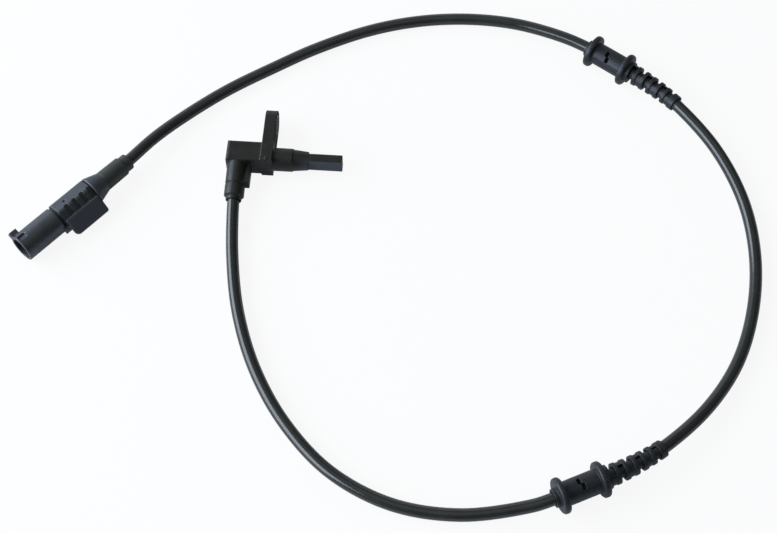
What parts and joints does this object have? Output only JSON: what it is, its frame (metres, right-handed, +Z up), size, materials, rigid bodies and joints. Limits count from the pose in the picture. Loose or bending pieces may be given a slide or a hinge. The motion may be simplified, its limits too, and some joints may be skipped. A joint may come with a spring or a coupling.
{
  "type": "wheel speed sensor",
  "caption": "Flanged speed sensor with a flat-tipped probe, on a long cable with two strain relief grommets and a round plug with a side tongue.",
  "frame": {"origin": "under the middle of the sensor head's bounding box, on the table that the part lies on", "axes": "+X along the probe towards its tip, +Y along the flange towards the bolt ear, +Z up from the table"},
  "size_m": [0.3136, 0.245, 0.0147],
  "materials": {
    "head_plastic": "fine satin",
    "bush_steel": "turned, dull",
    "inner_plastic": "matt",
    "chip_epoxy": "matt",
    "ceramic": "matt",
    "tinned_brass": "tin plated",
    "wire_insulation": "satin",
    "cable_jacket": "semi-gloss extruded",
    "grommet_rubber": "moulded, dull sheen",
    "connector_plastic": "satin, finely grained",
    "boot_rubber": "moulded, dull sheen",
    "seal_rubber": "silicone, matt"
  },
  "bodies": {
    "root": {"head_housing": "head_plastic", "mounting_bush": "bush_steel", "chip_carrier": "inner_plastic", "sensing_chip": "chip_epoxy", "filter_capacitor": "ceramic", "lead_1": "tinned_brass", "lead_2": "tinned_brass", "head_wire_1": "wire_insulation", "head_wire_2": "wire_insulation", "cable": "cable_jacket", "lower_grommet": "grommet_rubber", "upper_grommet": "grommet_rubber", "connector_shell": "connector_plastic", "terminal_guard": "inner_plastic", "terminal_block": "inner_plastic", "connector_rear_cap": "connector_plastic", "connector_boot": "boot_rubber", "contact_pin_1": "tinned_brass", "contact_pin_2": "tinned_brass", "wire_seal_1": "seal_rubber", "wire_seal_2": "seal_rubber", "connector_wire_1": "wire_insulation", "connector_wire_2": "wire_insulation"}
  },
  "joints": []
}
